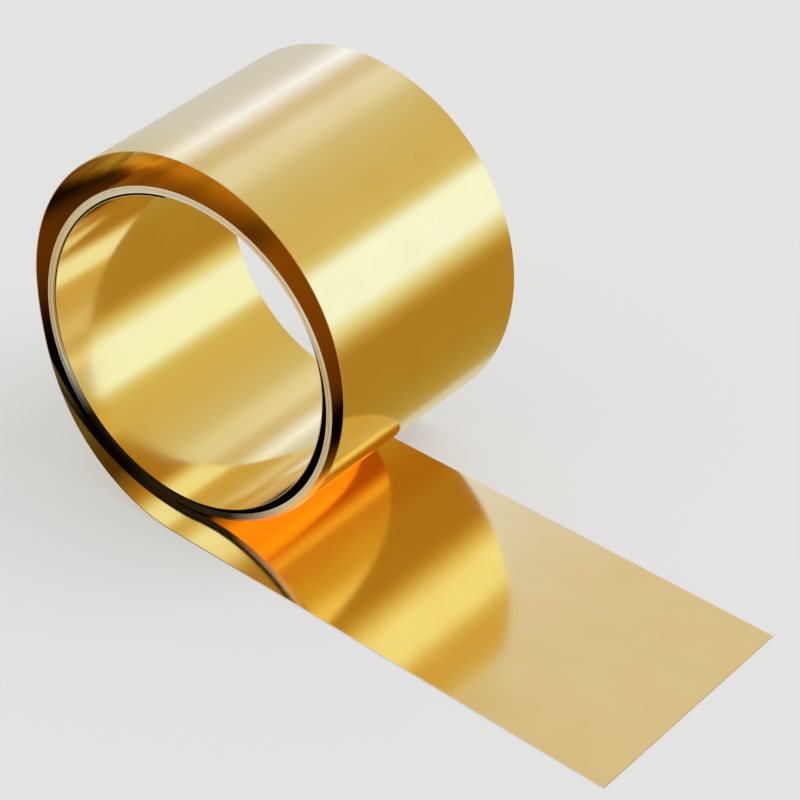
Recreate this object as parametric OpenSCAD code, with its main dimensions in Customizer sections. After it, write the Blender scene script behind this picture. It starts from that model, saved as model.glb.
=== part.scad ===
// Roll of brass shim stock: one thin strip, wound into a tight coil.
// The last turn has sprung loose of the coil, and its end runs under the coil and lies flat as a tail.
// Millimetres. The bore axis is the Y axis, Z is up, and the tail runs out along +X.

/* [Strip] */
// width of the strip, which is the length of the roll along its axis
strip_w = 100; // [40:1:160]
// thickness of the strip
strip_t = 0.3; // [0.2:0.05:0.5]

/* [Coil] */
// bore of the roll, inside the innermost turn
bore_d = 120; // [90:1:150]
// number of turns in the tight pack
pack_turns = 10; // [6:1:12]
// play of the innermost turn inside the pack, all round if it hung in the middle
inner_gap = 1.2; // [0.8:0.1:2]
// direction in which the innermost turn presses against the pack, from +X towards +Z
inner_press_angle = 110; // [90:1:150]
// how far the turns stand in and out of line on the ends of the roll
edge_wander = 0.35; // [0.1:0.05:0.8]

/* [Loose turn] */
// direction from the pack's middle in which the last turn leaves the pack
root_angle = -79; // [-80:1:-65]
// depth below the pack's surface at which the last turn starts
root_sink = 0.15; // [0.1:0.01:0.18]
// extra radius of the last turn over the pack, from its root to the crown of the roll
rise_slack = 6.1; // [5:0.1:8]
// direction of the crown, where the last turn tightens
crown_angle = 84; // [75:1:95]
// extra radius of the last turn over the pack, from the crown to its free side
fall_slack = 3.8; // [3:0.1:5]
// extra radius of the last turn at the far end of the roll, where it stands wider open
far_slack = 1.5; // [0:0.1:3]
// direction in which the last turn opens again and bends towards the floor
break_angle = 158; // [150:1:165]
// clearance between the pack and the tail that runs under it
rest_gap = 0.4; // [0.3:0.1:1]

/* [Tail] */
// direction on the last turn at which it starts to wander along the roll
skew_from = 178; // [170:1:185]
// direction from which it wanders by the full skew
skew_to = 198; // [190:1:215]
// angle by which the tail runs off to the near side
tail_skew = 8.8; // [0:0.1:12]
// distance from the pack's middle to the near corner of the cut end, along the tail
tail_reach = 203; // [120:1:400]
// how much further out the far corner of the cut end lies
cut_lead = 4.2; // [-10:0.1:20]

/* [Hidden] */
$fn = 120;

bore_r = bore_d / 2;
pack_in_r = bore_r + strip_t + inner_gap;
pack_out_r = pack_in_r + pack_turns * strip_t;
// the innermost turn sinks half its thickness into the pack, so the two are one piece
inner_slip = inner_gap + strip_t / 2;

// A point at a distance and a direction from a middle, in the plane of the roll's end.
function polar(middle, r, angle) = middle + r * [cos(angle), sin(angle)];

pack_mid = polar([0, 0], -inner_slip, inner_press_angle);
floor_z = pack_mid[1] - pack_out_r - rest_gap - strip_t;

// How far one turn of the pack stands out of line on the ends. The outermost is the proudest.
function stand(turn) = edge_wander * cos(77 * (pack_turns - 1 - turn));

// One end of the pack's section: the stepped edges of its turns, from the bore outwards.
function edges(side) = [
    for (turn = [0:pack_turns - 1], rim = [0, 1])
        [pack_in_r + (turn + rim) * strip_t, side * (strip_w / 2 + stand(turn))]
];

function backwards(list) = [for (i = [len(list) - 1:-1:0]) list[i]];

// The three tangent bends of the last turn, each as middle, radius, first and last direction.
function bends(slack) =
    let (
        rise_r = pack_out_r + rise_slack + slack,
        rise_mid = polar(pack_mid, pack_out_r - root_sink - rise_r, root_angle),
        fall_r = pack_out_r + fall_slack + slack,
        fall_mid = polar(rise_mid, rise_r - fall_r, crown_angle),
        foot_r = (fall_mid[1] + fall_r * sin(break_angle) - floor_z) / (1 + sin(break_angle)),
        foot_mid = polar(fall_mid, fall_r - foot_r, break_angle)
    )
    [
        [rise_mid, rise_r, root_angle, crown_angle],
        [fall_mid, fall_r, crown_angle, break_angle],
        [foot_mid, foot_r, break_angle, 270]
    ];

// How far the last turn has wandered along the roll at a direction on it.
wander_rate = pack_out_r * tan(tail_skew) * PI / 180;
function wander(angle) =
    angle <= skew_from ? 0
    : angle < skew_to ? wander_rate * pow(angle - skew_from, 2) / (2 * (skew_to - skew_from))
    : wander_rate * (angle - (skew_from + skew_to) / 2);

// One corner line of the last turn, from its root to the cut end: on one side of the strip,
// with its slack there, the reach of its corner and the depth below the outside.
function corner_line(side, slack, reach, depth) =
    let (turn = bends(slack), foot_x = turn[2][0][0])
    concat(
        [
            for (bend = turn)
                let (facets = ceil((bend[3] - bend[2]) * $fn / 360))
                for (i = [bend[2] == root_angle ? 0 : 1:facets])
                    let (
                        angle = bend[2] + (bend[3] - bend[2]) * i / facets,
                        point = polar(bend[0], bend[1] - depth, angle)
                    )
                    [point[0], point[1], side * strip_w / 2 + wander(angle)]
        ],
        [[reach, floor_z + depth, side * strip_w / 2 + wander(270) + (reach - foot_x) * tan(tail_skew)]]
    );

// The tight turns, with their edges in and out of line.
module pack() {
    translate(pack_mid)
        rotate_extrude()
            polygon(concat(edges(-1), backwards(edges(1))));
}

// The innermost turn, which hangs in the pack on one side and clears it on the other.
module inner_turn() {
    rotate_extrude()
        translate([bore_r, -strip_w / 2])
            square([strip_t, strip_w]);
}

// The last turn, from its root in the pack to the cut end of the tail.
module last_turn() {
    near_x = pack_mid[0] + tail_reach;
    far_x = near_x + cut_lead;
    lines = [
        corner_line(1, 0, near_x, 0),
        corner_line(1, 0, near_x, strip_t),
        corner_line(-1, far_slack, far_x, strip_t),
        corner_line(-1, far_slack, far_x, 0)
    ];
    last = len(lines[0]) - 1;
    polyhedron(
        [for (i = [0:last], line = lines) line[i]],
        concat(
            [[0, 2, 1], [0, 3, 2]],
            [
                for (i = [0:last - 1], side = [0:3])
                    let (a = 4 * i + side, b = 4 * i + (side + 1) % 4)
                    each [[a, b + 4, a + 4], [a, b, b + 4]]
            ],
            [[4 * last, 4 * last + 1, 4 * last + 2], [4 * last, 4 * last + 2, 4 * last + 3]]
        )
    );
}

module shim_strip() {
    color([0.86, 0.69, 0.33])
        rotate([90, 0, 0])
            union() {
                pack();
                inner_turn();
                last_turn();
            }
}

shim_strip();
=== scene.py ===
"""Looks of a roll of brass shim stock: one thin strip, wound into a coil, its last turn sprung loose.

The strip is swept along one chain of tangent bends, from its inner end to the cut end of its tail.
Sizes in the classes are in millimetres and angles in degrees, and the meshes are in metres.
"""

import logging
import math
from dataclasses import dataclass, field
from enum import IntEnum

import bmesh
import bpy
from mathutils import Matrix, Vector


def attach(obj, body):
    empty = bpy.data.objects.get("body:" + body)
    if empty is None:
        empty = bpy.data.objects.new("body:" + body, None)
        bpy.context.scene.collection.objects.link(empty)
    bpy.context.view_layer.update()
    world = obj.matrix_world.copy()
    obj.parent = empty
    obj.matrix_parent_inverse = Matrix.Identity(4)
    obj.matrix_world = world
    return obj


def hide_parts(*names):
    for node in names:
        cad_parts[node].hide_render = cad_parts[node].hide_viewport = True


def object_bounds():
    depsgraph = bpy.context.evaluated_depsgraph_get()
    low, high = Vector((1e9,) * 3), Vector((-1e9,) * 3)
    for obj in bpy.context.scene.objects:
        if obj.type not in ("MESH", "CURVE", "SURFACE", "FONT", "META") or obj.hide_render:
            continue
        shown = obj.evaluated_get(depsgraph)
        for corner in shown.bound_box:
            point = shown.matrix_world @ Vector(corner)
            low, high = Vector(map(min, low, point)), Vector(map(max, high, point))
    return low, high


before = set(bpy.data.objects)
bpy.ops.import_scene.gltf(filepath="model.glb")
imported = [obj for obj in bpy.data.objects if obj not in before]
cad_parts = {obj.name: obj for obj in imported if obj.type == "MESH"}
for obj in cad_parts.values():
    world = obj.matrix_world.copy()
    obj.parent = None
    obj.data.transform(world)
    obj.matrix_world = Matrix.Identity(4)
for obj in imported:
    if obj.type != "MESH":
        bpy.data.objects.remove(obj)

CAD_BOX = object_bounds()
MM = 0.001
TURN_AXIS = Vector((0.0, -1.0, 0.0))
DOWN = 270.0
# room for rounding where an angle is read back from a vertex
ANGLE_SLIP = 0.1

Colour = tuple[float, float, float]
Range = tuple[float, float]
Shares = tuple[tuple[float, float], ...]
Socket = bpy.types.NodeSocket
Section = list[bmesh.types.BMVert | bmesh.types.BMEdge]

log = logging.getLogger("shim_roll")


class Skin(IntEnum):
    """The material slots of the strip."""

    FACE = 0
    EDGE = 1


def spoke(angle: float) -> Vector:
    """Returns the unit vector at an angle from +X towards +Z."""
    return Vector((math.cos(math.radians(angle)), 0.0, math.sin(math.radians(angle))))


def rgba(colour: Colour) -> tuple[float, float, float, float]:
    """Returns a colour with full opacity."""
    return (*colour, 1.0)


def greys(shares: Shares) -> list[tuple[float, Colour]]:
    """Returns the stops of a ramp, with each share as a grey."""
    return [(at, (share, share, share)) for at, share in shares]


def open_edges(geom: Section) -> list[bmesh.types.BMEdge]:
    """Returns the edges of a section that are still open."""
    return [edge for edge in geom if isinstance(edge, bmesh.types.BMEdge) and edge.is_boundary]


def is_cap(face: bmesh.types.BMFace) -> bool:
    """Tells whether a face closes an end of the strip, as only those have more than four corners."""
    return len(face.verts) > 4


def new_object(name: str, bm: bmesh.types.BMesh) -> bpy.types.Object:
    """Puts a finished mesh into the scene.

    Args:
        name: The name of the mesh and its object.
        bm: The mesh, which is freed.

    Returns:
        The object.
    """
    mesh = bpy.data.meshes.new(name)
    bm.to_mesh(mesh)
    bm.free()
    made = bpy.data.objects.new(name, mesh)
    bpy.context.scene.collection.objects.link(made)
    return made


@dataclass(frozen=True)
class Zone:
    """A stretch of a value that fades in and out: where it starts, is full, begins to fall and ends."""

    start: float
    full: float
    fall: float
    end: float


class NodeBoard:
    """A node tree that is filled from left to right."""

    def __init__(self, tree: bpy.types.NodeTree) -> None:
        """Clears the tree.

        Args:
            tree: The node tree of a material or a world.
        """
        self.tree = tree
        tree.nodes.clear()

    def add(self, kind: str, **settings: object) -> bpy.types.Node:
        """Adds a node.

        Args:
            kind: The node's type name.
            settings: Properties to set on the node.

        Returns:
            The new node.
        """
        node = self.tree.nodes.new(kind)
        for name, value in settings.items():
            setattr(node, name, value)
        return node

    def link(self, source: Socket, target: Socket) -> None:
        """Joins an output to an input."""
        self.tree.links.new(source, target)

    def feed(self, socket: Socket, value: object) -> None:
        """Sets an input from an output, a number or a colour.

        Args:
            socket: The input.
            value: A socket, a number or a colour.
        """
        if isinstance(value, Socket):
            self.link(value, socket)
        else:
            socket.default_value = rgba(value) if isinstance(value, tuple) else value

    def maths(self, operation: str, first: object, second: object = 0.0) -> Socket:
        """Adds a Math node.

        Args:
            operation: The node's operation.
            first: A socket or a number.
            second: A socket or a number.

        Returns:
            The node's output.
        """
        node = self.add("ShaderNodeMath", operation=operation)
        for socket, value in zip(node.inputs, (first, second)):
            self.feed(socket, value)
        return node.outputs[0]

    def times(self, first: object, second: object) -> Socket:
        """Returns the product of two values."""
        return self.maths("MULTIPLY", first, second)

    def noise(self, vector: Socket, stretch: Colour, detail: float) -> Socket:
        """Adds a noise whose grain is stretched along the axes.

        Args:
            vector: The coordinates in metres.
            stretch: Grains in a metre along X, Y and Z.
            detail: The noise's detail.

        Returns:
            The noise's value, around 0.5.
        """
        mapping = self.add("ShaderNodeMapping")
        mapping.inputs["Scale"].default_value = stretch
        self.link(vector, mapping.inputs["Vector"])
        noise = self.add("ShaderNodeTexNoise")
        noise.inputs["Scale"].default_value = 1.0
        noise.inputs["Detail"].default_value = detail
        self.link(mapping.outputs["Vector"], noise.inputs["Vector"])
        return noise.outputs["Fac"]

    def spread(self, value: Socket, start: float, end: float, to: Range) -> Socket:
        """Maps a value from one range to another, and keeps it there.

        Args:
            value: The value.
            start: The value that gives the new range's start.
            end: The value that gives the new range's end.
            to: The new range.

        Returns:
            The mapped value.
        """
        node = self.add("ShaderNodeMapRange", clamp=True)
        self.link(value, node.inputs["Value"])
        for name, number in zip(("From Min", "From Max", "To Min", "To Max"), (start, end, *to)):
            node.inputs[name].default_value = number
        return node.outputs["Result"]

    def rise(self, value: Socket, start: float, end: float) -> Socket:
        """Returns a share that rises from nought to one over a range."""
        return self.spread(value, start, end, (0.0, 1.0))

    def fall(self, value: Socket, start: float, end: float) -> Socket:
        """Returns a share that falls from one to nought over a range."""
        return self.spread(value, start, end, (1.0, 0.0))

    def within(self, value: Socket, zone: Zone) -> Socket:
        """Returns how far a value lies within a zone, from nought to one."""
        return self.times(self.rise(value, zone.start, zone.full), self.fall(value, zone.fall, zone.end))

    def blend(self, share: object, first: object, second: object, kind: str = "MIX") -> Socket:
        """Mixes two colours.

        Args:
            share: The share of the second colour.
            first: The first colour, or a socket.
            second: The second colour, or a socket.
            kind: The way of mixing.

        Returns:
            The mixed colour.
        """
        node = self.add("ShaderNodeMix", data_type="RGBA", blend_type=kind)
        for number, value in ((0, share), (6, first), (7, second)):
            self.feed(node.inputs[number], value)
        return node.outputs[2]

    def either(self, share: object, first: bpy.types.Node, second: bpy.types.Node) -> bpy.types.Node:
        """Mixes two shaders.

        Args:
            share: The share of the second shader.
            first: The first shader's node.
            second: The second shader's node.

        Returns:
            The mixing node.
        """
        node = self.add("ShaderNodeMixShader")
        for socket, value in zip(node.inputs, (share, first.outputs[0], second.outputs[0])):
            self.feed(socket, value)
        return node

    def ramp(self, value: Socket, stops: list[tuple[float, Colour]]) -> Socket:
        """Adds a colour ramp.

        Args:
            value: The place on the ramp, from 0 to 1.
            stops: The places and colours of its stops.

        Returns:
            The colour.
        """
        node = self.add("ShaderNodeValToRGB")
        self.link(value, node.inputs[0])
        elements = node.color_ramp.elements
        for number, (place, colour) in enumerate(stops):
            stop = elements[number] if number < 2 else elements.new(place)
            stop.position = place
            stop.color = rgba(colour)
        return node.outputs["Color"]

    def round_ramp(self, angle: Socket, stops: list[tuple[float, Colour]]) -> Socket:
        """Adds a colour ramp round the roll's axis.

        Args:
            angle: The angle, from -180 to 180.
            stops: The angles and colours of its stops.

        Returns:
            The colour.
        """
        place = self.rise(angle, -180.0, 180.0)
        return self.ramp(place, [((at + 180.0) / 360.0, colour) for at, colour in stops])

    def round_axis(self, place: Socket, middle: Vector) -> tuple[Socket, Socket]:
        """Measures a place round the pack's axis.

        Args:
            place: The coordinates in metres.
            middle: The pack's middle.

        Returns:
            The angle from +X towards +Z, and the distance from the axis in millimetres.
        """
        split = self.add("ShaderNodeSeparateXYZ")
        self.link(place, split.inputs[0])
        x = self.maths("SUBTRACT", self.times(split.outputs["X"], 1.0 / MM), middle.x)
        z = self.maths("SUBTRACT", self.times(split.outputs["Z"], 1.0 / MM), middle.z)
        angle = self.maths("DEGREES", self.maths("ARCTAN2", z, x))
        reach = self.maths("SQRT", self.maths("ADD", self.times(x, x), self.times(z, z)))
        return angle, reach

    def mirrored(self, times: float) -> Socket:
        """Returns one for light that was mirrored more often than that on its way, and else nought."""
        depth = self.add("ShaderNodeLightPath").outputs["Glossy Depth"]
        return self.maths("GREATER_THAN", depth, times)

    def metal(self, colour: Socket, roughness: Socket) -> bpy.types.Node:
        """Adds the shader of a bare metal and makes it the material's surface.

        Args:
            colour: The metal's colour.
            roughness: The metal's roughness.

        Returns:
            The shader's node.
        """
        shader = self.add("ShaderNodeBsdfPrincipled")
        shader.inputs["Metallic"].default_value = 1.0
        self.link(colour, shader.inputs["Base Color"])
        self.link(roughness, shader.inputs["Roughness"])
        self.link(shader.outputs["BSDF"], self.add("ShaderNodeOutputMaterial").inputs["Surface"])
        return shader


def new_material(name: str) -> tuple[bpy.types.Material, NodeBoard]:
    """Makes a material.

    Args:
        name: The material's name.

    Returns:
        The material and its empty node tree.
    """
    material = bpy.data.materials.new(name)
    material.use_nodes = True
    return material, NodeBoard(material.node_tree)


@dataclass(frozen=True)
class RolledBrass:
    """The bright rolled faces of the strip, with fine lines along it and faint marks of handling.

    Zones and ramps go by the angle round the pack's axis. Rims are distances from the pack's inner or
    outer radius. Light that has bounced many times between two turns is given as a faint glow. Painted
    shade darkens the loose turn's inner face and deepens the gold of the bore, a painted warm bounce
    tints the root of the loose turn, and the bore's reflections of itself are painted paler.
    """

    name: str = "rolled_brass"
    light: Colour = (0.995, 0.790, 0.335)
    deep: Colour = (0.985, 0.760, 0.305)
    # root, with its zone and rim, is a painted warm bounce of light at the root of the loose turn
    root: Colour = (0.985, 0.600, 0.165)
    painted_bounce_zone: Zone = Zone(-76.0, -60.0, -51.0, -45.0)
    root_rim: Zone = Zone(-2.0, -1.0, 3.0, 7.0)
    # painted shade: the bore is a deeper gold than the faces outside it
    bore: Colour = (0.990, 0.755, 0.262)
    bore_shade_zone: Zone = Zone(-178.0, -160.0, 20.0, 80.0)
    bore_rim: Range = (-0.25, -0.05)
    # painted reflection: the bore is paler where it mirrors itself
    bore_painted_reflection: Colour = (0.960, 0.800, 0.460)
    painted_reflection_depth: float = 0.5
    # painted shade on the inner face of the loose turn: its colour, facing and ramp round the axis
    fold: Colour = (0.20, 0.14, 0.05)
    fold_shade_facing: Range = (-0.03, -0.02)
    painted_fold_shades: Shares = (
        (-180.0, 0.0), (-176.0, 0.0), (-164.0, 1.0), (-119.0, 1.0), (-107.0, 0.0),
        (60.0, 0.0), (74.0, 0.1), (86.0, 0.4), (97.0, 0.25), (104.0, 0.0),
        (112.0, 0.1), (122.0, 0.5), (132.0, 0.3), (142.0, 0.0), (180.0, 0.0),
    )
    line_grain: Colour = (6.0, 1400.0, 6.0)
    line_share: float = 0.4
    line_strength: float = 0.15
    line_depth: float = 0.02
    band_grain: Colour = (9.0, 120.0, 9.0)
    band_share: float = 0.3
    mark_grain: Colour = (45.0, 45.0, 45.0)
    mark_share: float = 0.3
    mark_range: Range = (0.35, 0.65)
    rough_range: Range = (0.38, 0.62)
    roughness: Range = (0.085, 0.125)
    trapped: Colour = (1.0, 0.70, 0.40)
    trapped_depth: float = 3.5
    trapped_light: Shares = (
        (-180.0, 0.06), (-170.0, 0.01), (-86.0, 0.0), (-72.0, 0.8), (-52.0, 0.8), (-38.0, 0.1),
        (-25.0, 0.0), (-12.0, 0.0), (-2.0, 0.05), (20.0, 0.09), (60.0, 0.11), (72.0, 0.12),
        (86.0, 0.03), (104.0, 0.14), (150.0, 0.15), (168.0, 0.16), (180.0, 0.06),
    )

    def fold_shade_share(self, board: NodeBoard, place: Socket, angle: Socket) -> Socket:
        """Tells how much painted shade falls on a place of the strip's inner face, by its angle round the
        pack's axis.

        Args:
            board: The material's nodes.
            place: The coordinates in metres.
            angle: The angle round the pack's axis.

        Returns:
            The share from nought to one.
        """
        facing = board.add("ShaderNodeVectorMath", operation="DOT_PRODUCT")
        board.link(place, facing.inputs[0])
        board.link(board.add("ShaderNodeNewGeometry").outputs["True Normal"], facing.inputs[1])
        inward = board.fall(facing.outputs["Value"], *self.fold_shade_facing)
        return board.times(inward, board.round_ramp(angle, greys(self.painted_fold_shades)))

    def tone(self, board: NodeBoard, angle: Socket, reach: Socket, pack: Range, ground: Socket) -> Socket:
        """Paints shade into the bore as a deeper gold, and paints its reflections of itself paler.

        Args:
            board: The material's nodes.
            angle: The angle round the pack's axis.
            reach: The distance from the pack's axis.
            pack: The radii inside and outside the tight turns.
            ground: The colour of the faces elsewhere.

        Returns:
            The colour.
        """
        hollow = board.fall(reach, *(pack[0] + rim for rim in self.bore_rim))
        # painted shade: the bore takes the deeper gold
        inside = board.times(hollow, board.within(angle, self.bore_shade_zone))
        # painted reflection: paler once the light has been mirrored already
        paler_reflection_share = board.times(hollow, board.mirrored(self.painted_reflection_depth))
        return board.blend(paler_reflection_share, board.blend(inside, ground, self.bore), self.bore_painted_reflection)

    def make(self, middle: Vector, pack: Range) -> bpy.types.Material:
        """Builds the material.

        Args:
            middle: The pack's middle.
            pack: The radii inside and outside the tight turns.

        Returns:
            The material.
        """
        material, board = new_material(self.name)
        place = board.add("ShaderNodeTexCoord").outputs["Object"]
        angle, reach = board.round_axis(place, middle)
        lines = board.noise(place, self.line_grain, 3.0)
        bands = board.noise(place, self.band_grain, 2.0)
        marks = board.noise(place, self.mark_grain, 4.0)

        rim = self.root_rim
        outside = board.rise(reach, pack[1] + rim.start, pack[1] + rim.full)
        painted_bounce_reach = board.times(outside, board.fall(reach, pack[1] + rim.fall, pack[1] + rim.end))
        colour = board.blend(board.rise(marks, *self.mark_range), self.light, self.deep)
        colour = self.tone(board, angle, reach, pack, colour)
        # painted shade darkens the inner face of the loose turn
        colour = board.blend(board.times(self.fold_shade_share(board, place, angle), outside), colour, self.fold)
        # painted warm bounce: the root of the loose turn is tinted orange
        colour = board.blend(board.times(board.within(angle, self.painted_bounce_zone), painted_bounce_reach), colour, self.root)

        worn = board.maths("ADD", board.times(bands, self.band_share), board.times(marks, self.mark_share))
        worn = board.maths("ADD", board.times(lines, self.line_share), worn)
        shader = board.metal(colour, board.spread(worn, *self.rough_range, self.roughness))

        between = board.times(outside, board.mirrored(self.trapped_depth))
        glow = board.times(board.round_ramp(angle, greys(self.trapped_light)), between)
        shader.inputs["Emission Color"].default_value = rgba(self.trapped)
        board.link(glow, shader.inputs["Emission Strength"])
        material.cycles.emission_sampling = "NONE"

        bump = board.add("ShaderNodeBump")
        bump.inputs["Strength"].default_value = self.line_strength
        bump.inputs["Distance"].default_value = self.line_depth * MM
        board.link(lines, bump.inputs["Height"])
        board.link(bump.outputs["Normal"], shader.inputs["Normal"])
        return material


@dataclass(frozen=True)
class ShearedEdge:
    """The edges where the strip was cut.

    They are pale on the tight turns and brass elsewhere, and painted shade makes them dark in the fold of
    the loose turn.
    """

    name: str = "sheared_edge"
    light: Colour = (1.0, 0.98, 0.91)
    deep: Colour = (0.96, 0.91, 0.76)
    brass: Colour = (0.72, 0.50, 0.18)
    tail: Colour = (0.95, 0.86, 0.62)
    tail_rim: Range = (15.0, 30.0)
    tight_rims: Range = (0.3, 0.5)
    # painted shade for the edges in the fold of the loose turn
    shaded: Colour = (0.030, 0.022, 0.008)
    shaded_zone: Zone = Zone(-158.0, -140.0, -75.0, -48.0)
    nick_grain: Colour = (900.0, 900.0, 900.0)
    nick_range: Range = (0.35, 0.65)
    drift_grain: Colour = (30.0, 30.0, 30.0)
    pale_range: Range = (0.4, 0.62)
    roughness: Range = (0.30, 0.45)

    def make(self, middle: Vector, pack: Range) -> bpy.types.Material:
        """Builds the material.

        Args:
            middle: The pack's middle.
            pack: The radii inside and outside the tight turns.

        Returns:
            The material.
        """
        material, board = new_material(self.name)
        place = board.add("ShaderNodeTexCoord").outputs["Object"]
        angle, reach = board.round_axis(place, middle)
        nicks = board.noise(place, self.nick_grain, 3.0)
        drift = board.noise(place, self.drift_grain, 2.0)
        mean = board.maths("ADD", board.times(nicks, 0.5), board.times(drift, 0.5))
        pale = board.blend(board.rise(mean, *self.pale_range), self.light, self.deep)
        tight = Zone(pack[0] - self.tight_rims[0], pack[0], pack[1], pack[1] + self.tight_rims[1])
        far = board.rise(reach, *(pack[1] + rim for rim in self.tail_rim))
        colour = board.blend(board.within(reach, tight), board.blend(far, self.brass, self.tail), pale)
        # painted shade: the edges go dark in the fold of the loose turn
        colour = board.blend(board.within(angle, self.shaded_zone), colour, self.shaded)
        board.metal(colour, board.spread(nicks, *self.nick_range, self.roughness))
        return material


@dataclass(frozen=True)
class Bend:
    """One round stretch of the strip, which goes on tangent from the stretch before it.

    The radius is that of the strip's inner face. The stretch ends at an angle from +X towards +Z that
    counts on over the turns, and at a place along the roll's axis.
    """

    radius: float
    to_angle: float
    drift: float = 0.0


@dataclass(frozen=True)
class Sweep:
    """One round stretch of the loose turn: its middle, its inner radius and its two angles."""

    middle: Vector
    radius: float
    from_angle: float
    to_angle: float

    def at(self, angle: float) -> Vector:
        """Returns the place on the inner face at an angle."""
        return self.middle + self.radius * spoke(angle)


@dataclass
class LooseTurn:
    """The last turn, which has sprung away from the pack, runs under it and ends as the flat tail."""

    pack_middle: Vector
    pack_radius: float
    thickness: float
    width: float
    root_angle: float
    root_sink: float
    rise_slack: float = 6.1
    crown_angle: float = 84.0
    fall_slack: float = 3.8
    far_slack: float = 1.5
    break_angle: float = 158.0
    rest_gap: float = 0.4
    skew_from: float = 178.0
    skew_to: float = 198.0
    tail_skew: float = 8.8
    tail_reach: float = 203.0
    cut_lead: float = 4.2
    tail_rows: int = 24
    step_angle: float = 1.5

    def sweeps(self, slack: float) -> list[Sweep]:
        """Lists the three tangent stretches on one side of the strip.

        Args:
            slack: The extra radius on that side.

        Returns:
            The stretches from the root to the floor.
        """
        t = self.thickness
        floor = self.pack_middle.z - self.pack_radius - self.rest_gap - t
        rise = self.pack_radius + self.rise_slack + slack
        fall = self.pack_radius + self.fall_slack + slack
        rise_mid = self.pack_middle + (self.pack_radius - self.root_sink - rise) * spoke(self.root_angle)
        fall_mid = rise_mid + (rise - fall) * spoke(self.crown_angle)
        lean = math.sin(math.radians(self.break_angle))
        foot = (fall_mid.z + fall * lean - floor) / (1.0 + lean)
        foot_mid = fall_mid + (fall - foot) * spoke(self.break_angle)
        return [
            Sweep(rise_mid, rise - t, self.root_angle, self.crown_angle),
            Sweep(fall_mid, fall - t, self.crown_angle, self.break_angle),
            Sweep(foot_mid, foot - t, self.break_angle, DOWN),
        ]

    def wander(self, angle: float) -> float:
        """Tells how far the strip has wandered towards the near end.

        Args:
            angle: The angle on the turn.

        Returns:
            The distance along the roll's axis.
        """
        rate = self.pack_radius * math.tan(math.radians(self.tail_skew))
        ramp = math.radians(self.skew_to - self.skew_from)
        past = math.radians(angle - self.skew_from)
        if past <= 0.0:
            return 0.0
        return rate * (past * past / (2.0 * ramp) if past < ramp else past - ramp / 2.0)

    def lean_out(self, verts: list[bmesh.types.BMVert], near: Sweep, far: Sweep) -> None:
        """Opens the far side of one stretch and lets the stretch wander along the roll.

        Args:
            verts: The stretch's vertices, as spun with the near side's radius.
            near: The stretch on the near side.
            far: The stretch on the far side.
        """
        for vert in verts:
            spot = vert.co / MM - near.middle
            angle = math.degrees(math.atan2(spot.z, spot.x))
            while angle < near.from_angle - ANGLE_SLIP:
                angle += 360.0
            share = spot.y / self.width + 0.5
            shift = share * (far.at(angle) - near.at(angle))
            vert.co += (shift - Vector((0.0, self.wander(angle), 0.0))) * MM

    def lay_tail(self, bm: bmesh.types.BMesh, geom: Section, near: Sweep, far: Sweep) -> None:
        """Draws the strip out along the floor, skewed, up to its cut end.

        Args:
            bm: The mesh.
            geom: The section's vertices and edges at the floor.
            near: The last stretch on the near side.
            far: The last stretch on the far side.
        """
        near_end = self.pack_middle.x + self.tail_reach
        near_step = (near_end - near.middle.x) / self.tail_rows
        far_step = (near_end + self.cut_lead - far.middle.x) / self.tail_rows
        slope = math.tan(math.radians(self.tail_skew))
        for row in range(self.tail_rows):
            geom = bmesh.ops.extrude_edge_only(bm, edges=open_edges(geom))["geom"]
            wandered = self.wander(DOWN) + slope * row * near_step
            for vert in (v for v in geom if isinstance(v, bmesh.types.BMVert)):
                share = (vert.co.y / MM + wandered) / self.width + 0.5
                step = near_step + min(1.0, max(0.0, share)) * (far_step - near_step)
                vert.co += Vector((step, -slope * step, 0.0)) * MM
        bmesh.ops.contextual_create(bm, geom=open_edges(geom))

    def wind(self, bm: bmesh.types.BMesh, geom: Section) -> None:
        """Sweeps the section on from the pack to the cut end of the tail.

        Args:
            bm: The mesh.
            geom: The section's vertices and edges at the root.
        """
        near, far = self.sweeps(0.0), self.sweeps(self.far_slack)
        stretches = []
        for sweep in near:
            known = len(bm.verts)
            angle = sweep.to_angle - sweep.from_angle
            made = bmesh.ops.spin(bm, geom=geom, cent=sweep.middle * MM, axis=TURN_AXIS,
                                  angle=math.radians(angle), steps=math.ceil(angle / self.step_angle),
                                  use_duplicate=False)
            geom = made["geom_last"]
            bm.verts.ensure_lookup_table()
            stretches.append(bm.verts[known:])
        for verts, one, other in zip(stretches, near, far):
            self.lean_out(verts, one, other)
        self.lay_tail(bm, geom, near[-1], far[-1])


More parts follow.
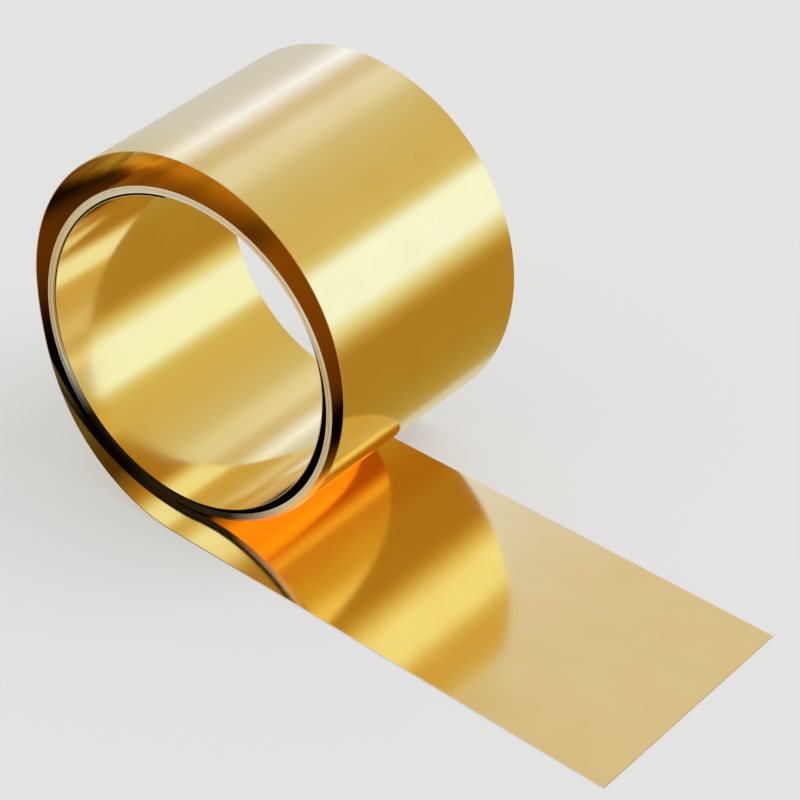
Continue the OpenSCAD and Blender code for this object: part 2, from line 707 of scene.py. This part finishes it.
@dataclass
class ShimStrip:
    """The whole strip: the innermost turn, the tight turns, the loose turn and the flat tail.

    The innermost turn starts at an angle, lies a little off the pack, bulges into the bore between four
    angles and then runs on as the first of the tight turns.
    """

    width: float = 100.0
    thickness: float = 0.3
    corner: float = 0.05
    bore_radius: float = 60.0
    play: float = 1.2
    press_angle: float = 110.0
    pack_height: float = 3.0
    half_turns: int = 18
    inner_end_angle: float = 95.0
    inner_gap: float = 0.7
    bulge_angles: tuple[float, float, float, float] = (264.0, 300.0, 358.0, 394.0)
    bulge_gap: float = 2.7
    edge_wander: float = 0.3
    wander_step: float = 77.0
    root_angle: float = -79.0
    root_sink: float = 0.15
    step_angle: float = 3.0
    least_steps: int = 6
    face: RolledBrass = field(default_factory=RolledBrass)
    edge: ShearedEdge = field(default_factory=ShearedEdge)

    @property
    def pack_middle(self) -> Vector:
        """Returns the middle of the tight turns."""
        return -(self.play + self.thickness / 2) * spoke(self.press_angle)

    @property
    def pack_radius(self) -> float:
        """Returns the radius inside the tight turns."""
        return self.bore_radius + self.thickness + self.play

    @property
    def root_radius(self) -> float:
        """Returns the radius of the strip's inner face where the loose turn leaves the pack."""
        return self.pack_radius + self.pack_height - self.root_sink - self.thickness

    def inner_bends(self) -> list[Bend]:
        """Works out the innermost turn.

        From one bend to the next the middle moves along the spoke between them, by the difference of
        their radii. The moves have to end at the pack's middle, and the bulge has its gap at its crest.

        Returns:
            The stretches in their order along the strip.
        """
        start = self.pack_radius - self.inner_gap - self.thickness
        spokes = [spoke(angle) for angle in self.bulge_angles]
        crest = spoke((self.bulge_angles[0] + self.bulge_angles[-1]) / 2)
        off, over, back = (after - before for before, after in zip(spokes, spokes[1:]))
        home = self.pack_radius * spokes[-1] - start * spokes[0]
        top = self.pack_radius - self.bulge_gap - self.thickness - start * spokes[0].dot(crest)
        rows = Matrix((
            (off.x, over.x, back.x),
            (off.z, over.z, back.z),
            (off.dot(crest), 1.0 - spokes[1].dot(crest), 0.0),
        ))
        radii = (start, *(rows.inverted() @ Vector((home.x, home.z, top))))
        return [Bend(radius, angle) for radius, angle in zip(radii, self.bulge_angles)]

    def bends(self) -> list[Bend]:
        """Lists the stretches from the inner end to the root of the loose turn.

        Returns:
            The stretches in their order along the strip.
        """
        growth = (self.root_radius - self.pack_radius) / (self.half_turns - 1)
        stretches = self.inner_bends()
        begin = stretches[-1].to_angle
        root = self.root_angle + 360.0 * (self.half_turns // 2 + 1)
        for half in range(self.half_turns):
            last = half + 1 == self.half_turns
            drift = 0.0 if last else self.edge_wander * math.cos(math.radians(self.wander_step * half))
            to_angle = root if last else begin + 180.0 * (half + 1)
            stretches.append(Bend(self.pack_radius + growth * half, to_angle, drift))
        return stretches

    def section(self, bm: bmesh.types.BMesh, radius: float) -> Section:
        """Lays out the strip's section at its inner end, with softened corners.

        Args:
            bm: The mesh to add it to.
            radius: The radius of the strip's inner face there.

        Returns:
            The section's vertices and edges.
        """
        verts = bmesh.ops.create_grid(bm, x_segments=1, y_segments=1, size=0.5)["verts"]
        bmesh.ops.scale(bm, vec=(self.thickness * MM, self.width * MM, 1.0), verts=verts)
        bmesh.ops.translate(bm, vec=((radius + self.thickness / 2) * MM, 0.0, 0.0), verts=verts)
        bmesh.ops.bevel(bm, geom=verts, offset=self.corner * MM, offset_type="OFFSET", affect="VERTICES",
                        segments=2, profile=0.5, material=-1)
        turn = Matrix.Rotation(math.radians(self.inner_end_angle), 3, TURN_AXIS)
        bmesh.ops.rotate(bm, verts=bm.verts[:], cent=(0.0, 0.0, 0.0), matrix=turn)
        bmesh.ops.translate(bm, vec=self.pack_middle * MM, verts=bm.verts[:])
        return [*bm.verts, *bm.edges]

    def wind(self, bm: bmesh.types.BMesh) -> None:
        """Sweeps the section along the tight turns, and then along the loose one.

        Args:
            bm: The mesh to build in.
        """
        stretches = self.bends()
        middle, at, radius, drift = self.pack_middle, self.inner_end_angle, stretches[0].radius, 0.0
        geom = self.section(bm, radius)
        for bend in stretches:
            middle = middle + (radius - bend.radius) * spoke(at)
            steps = max(self.least_steps, math.ceil((bend.to_angle - at) / self.step_angle))
            made = bmesh.ops.spin(bm, geom=geom, cent=middle * MM, axis=TURN_AXIS,
                                  dvec=(0.0, (bend.drift - drift) / steps * MM, 0.0),
                                  angle=math.radians(bend.to_angle - at), steps=steps, use_duplicate=False)
            geom = made["geom_last"]
            at, radius, drift = bend.to_angle, bend.radius, bend.drift
        pack_radius = radius + self.thickness + self.root_sink
        loose = LooseTurn(middle, pack_radius, self.thickness, self.width, self.root_angle, self.root_sink)
        loose.wind(bm, geom)

    def mark(self, bm: bmesh.types.BMesh) -> None:
        """Sets the slots of faces and edges, and keeps the rolled faces crisp against the sheared edges.

        Args:
            bm: The finished mesh.
        """
        for face in bm.faces:
            long_side = max(edge.calc_length() for edge in face.edges)
            rolled = long_side > self.width / 2 * MM and not is_cap(face)
            face.material_index = int(Skin.FACE if rolled else Skin.EDGE)
            face.smooth = not is_cap(face)
        for edge in bm.edges:
            kinds = {face.material_index for face in edge.link_faces}
            edge.smooth = len(kinds) == 1 and not any(is_cap(face) for face in edge.link_faces)

    def build(self) -> bpy.types.Object:
        """Builds and dresses the strip.

        Returns:
            The strip's object.
        """
        bm = bmesh.new()
        self.wind(bm)
        bmesh.ops.recalc_face_normals(bm, faces=bm.faces[:])
        self.mark(bm)
        strip = new_object("brass_strip", bm)
        pack = (self.pack_radius, self.pack_radius + self.pack_height)
        for finish in (self.face, self.edge):
            strip.data.materials.append(finish.make(self.pack_middle, pack))
        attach(strip, "root")
        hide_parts("shim_strip")
        return strip


@dataclass(frozen=True)
class Strip:
    """One strip of the studio's light round the roll's axis: an angle from +X towards +Z, and its light."""

    angle: float
    light: Colour


@dataclass
class Studio:
    """The plain pale floor and the soft light round the roll.

    The strips are what the metal mirrors. Towards the ends of the roll they take on a tone, which goes by
    the share of the direction along the axis, at the angles that are toned.
    """

    floor_z: float
    floor_half: float = 9000.0
    floor_drop: float = 0.05
    floor_colour: Colour = (0.77, 0.77, 0.765)
    floor_glow: float = 0.5
    sky: float = 0.735
    sky_colour: Colour = (1.0, 1.0, 1.0)
    sun_power: float = 1.12
    sun_spread: float = 45.0
    sun_from: Vector = field(default_factory=lambda: Vector((0.68, 0.42, 1.0)))
    end_tones: tuple[tuple[float, Colour], ...] = (
        (0.0, (0.93, 0.88, 0.68)), (0.634, (0.92, 0.87, 0.68)), (0.644, (0.94, 0.89, 0.72)),
        (0.656, (1.0, 1.0, 1.0)), (0.745, (1.0, 1.0, 1.0)),
        (0.83, (1.0, 0.96, 0.80)), (1.0, (1.0, 0.96, 0.80)),
    )
    toned: Shares = ((-180.0, 1.0), (-140.0, 1.0), (-115.0, 0.0), (95.0, 0.0), (118.0, 1.0), (180.0, 1.0))
    strips: tuple[Strip, ...] = (
        Strip(-180.0, (0.64, 0.70, 0.85)),
        Strip(-167.0, (0.64, 0.67, 0.74)),
        Strip(-157.0, (0.65, 0.65, 0.64)),
        Strip(-147.0, (0.69, 0.64, 0.52)),
        Strip(-125.0, (0.70, 0.66, 0.52)),
        Strip(-105.0, (0.66, 0.64, 0.52)),
        Strip(-97.0, (0.50, 0.41, 0.20)),
        Strip(-88.0, (0.46, 0.34, 0.09)),
        Strip(-75.0, (0.43, 0.30, 0.07)),
        Strip(-60.0, (0.42, 0.27, 0.05)),
        Strip(-20.0, (0.43, 0.26, 0.05)),
        Strip(-13.0, (0.53, 0.38, 0.10)),
        Strip(-3.0, (0.80, 0.85, 0.71)),
        Strip(4.0, (0.93, 1.16, 1.81)),
        Strip(30.0, (0.93, 1.18, 1.77)),
        Strip(37.0, (0.72, 0.71, 0.48)),
        Strip(42.0, (0.66, 0.58, 0.31)),
        Strip(52.0, (0.64, 0.54, 0.28)),
        Strip(70.0, (0.63, 0.55, 0.33)),
        Strip(81.0, (0.64, 0.58, 0.40)),
        Strip(91.0, (0.66, 0.63, 0.56)),
        Strip(101.0, (0.76, 0.80, 0.95)),
        Strip(112.0, (0.79, 0.85, 1.18)),
        Strip(120.0, (0.685, 0.665, 0.73)),
        Strip(127.0, (0.69, 0.67, 0.75)),
        Strip(130.5, (0.74, 0.81, 1.33)),
        Strip(135.5, (0.84, 0.97, 1.66)),
        Strip(141.5, (0.96, 1.18, 2.40)),
        Strip(146.5, (0.86, 1.01, 1.86)),
        Strip(154.0, (0.70, 0.80, 1.30)),
        Strip(166.0, (0.65, 0.73, 1.03)),
        Strip(180.0, (0.64, 0.71, 0.89)),
    )

    def lay_floor(self) -> bpy.types.Object:
        """Lays the floor.

        Returns:
            The floor's object.
        """
        bm = bmesh.new()
        made = bmesh.ops.create_grid(bm, x_segments=1, y_segments=1, size=self.floor_half * MM)
        bmesh.ops.translate(bm, vec=(0.0, 0.0, self.floor_z - self.floor_drop * MM), verts=made["verts"])
        floor = new_object("floor", bm)
        material, board = new_material("floor_paint")
        lit, plain = board.add("ShaderNodeBsdfDiffuse"), board.add("ShaderNodeEmission")
        for shader in (lit, plain):
            shader.inputs["Color"].default_value = rgba(self.floor_colour)
        both = board.either(self.floor_glow, lit, plain)
        board.link(both.outputs[0], board.add("ShaderNodeOutputMaterial").inputs["Surface"])
        floor.data.materials.append(material)
        floor.visible_glossy = False
        return floor

    def light_world(self) -> bpy.types.World:
        """Sets the light all round: strips for what the metal mirrors, and plain light for the rest.

        Returns:
            The world.
        """
        world = bpy.data.worlds.new("studio")
        bpy.context.scene.world = world
        world.use_nodes = True
        world.cycles.sampling_method = "NONE"
        board = NodeBoard(world.node_tree)
        split = board.add("ShaderNodeSeparateXYZ")
        board.link(board.add("ShaderNodeTexCoord").outputs["Generated"], split.inputs[0])
        angle = board.maths("DEGREES", board.maths("ARCTAN2", split.outputs["Z"], split.outputs["X"]))
        light = board.round_ramp(angle, [(strip.angle, strip.light) for strip in self.strips])
        share = board.round_ramp(angle, greys(self.toned))
        tone = board.ramp(board.maths("ABSOLUTE", split.outputs["Y"]), list(self.end_tones))
        mirrored, plain, seen = (board.add("ShaderNodeBackground") for _ in range(3))
        board.link(board.blend(share, light, tone, "MULTIPLY"), mirrored.inputs["Color"])
        plain.inputs["Color"].default_value = rgba(self.sky_colour)
        plain.inputs["Strength"].default_value = self.sky
        seen.inputs["Color"].default_value = rgba(self.floor_colour)
        path = board.add("ShaderNodeLightPath")
        unseen = board.either(path.outputs["Is Glossy Ray"], plain, mirrored)
        whole = board.either(path.outputs["Is Camera Ray"], unseen, seen)
        board.link(whole.outputs[0], board.add("ShaderNodeOutputWorld").inputs["Surface"])
        return world

    def hang_sun(self) -> bpy.types.Object:
        """Hangs the broad lamp that gives the floor its soft shadow.

        Returns:
            The lamp's object.
        """
        lamp = bpy.data.lights.new("broad_lamp", "SUN")
        lamp.energy = self.sun_power
        lamp.angle = math.radians(self.sun_spread)
        sun = bpy.data.objects.new("broad_lamp", lamp)
        sun.rotation_mode = "QUATERNION"
        sun.rotation_quaternion = (-self.sun_from).to_track_quat("-Z", "Y")
        sun.visible_glossy = False
        bpy.context.scene.collection.objects.link(sun)
        return sun


@dataclass
class PhotoCamera:
    """The camera at the photograph's view, for a square picture."""

    target: Vector = field(default_factory=lambda: Vector((56.34, 0.0, -24.32)))
    distance: float = 937.53
    azimuth: float = 36.47
    elevation: float = 31.5
    roll: float = 0.79
    lens: float = 118.573
    sensor: float = 36.0
    clip: Range = (10.0, 100000.0)

    def place(self) -> bpy.types.Object:
        """Makes the camera and sets it as the scene's.

        Returns:
            The camera's object.
        """
        a, e, r = (math.radians(x) for x in (self.azimuth, self.elevation, self.roll))
        back = Vector((math.sin(a) * math.cos(e), -math.cos(a) * math.cos(e), math.sin(e)))
        right = Vector((math.cos(a), math.sin(a), 0.0))
        level = Matrix((right, back.cross(right), back)).transposed()
        turned = level @ Matrix.Rotation(-r, 3, "Z")
        data = bpy.data.cameras.new("photo_camera")
        data.sensor_width = self.sensor
        data.lens = self.lens
        data.clip_start, data.clip_end = (distance * MM for distance in self.clip)
        camera = bpy.data.objects.new("photo_camera", data)
        camera.matrix_world = Matrix.Translation((self.target + self.distance * back) * MM) @ turned.to_4x4()
        bpy.context.scene.collection.objects.link(camera)
        bpy.context.scene.camera = camera
        return camera


def main() -> None:
    """Builds the strip, the studio and the camera in their order."""
    logging.basicConfig(level=logging.INFO, format="%(name)s: %(message)s")
    bpy.context.scene.view_settings.view_transform = "Standard"
    strip = ShimStrip().build()
    log.info("%s has %d faces", strip.name, len(strip.data.polygons))
    studio = Studio(floor_z=CAD_BOX[0].z)
    log.info("%s is laid", studio.lay_floor().name)
    log.info("%s is lit", studio.light_world().name)
    log.info("%s is hung", studio.hang_sun().name)
    log.info("%s is placed", PhotoCamera().place().name)


if __name__ == "__main__":
    main()
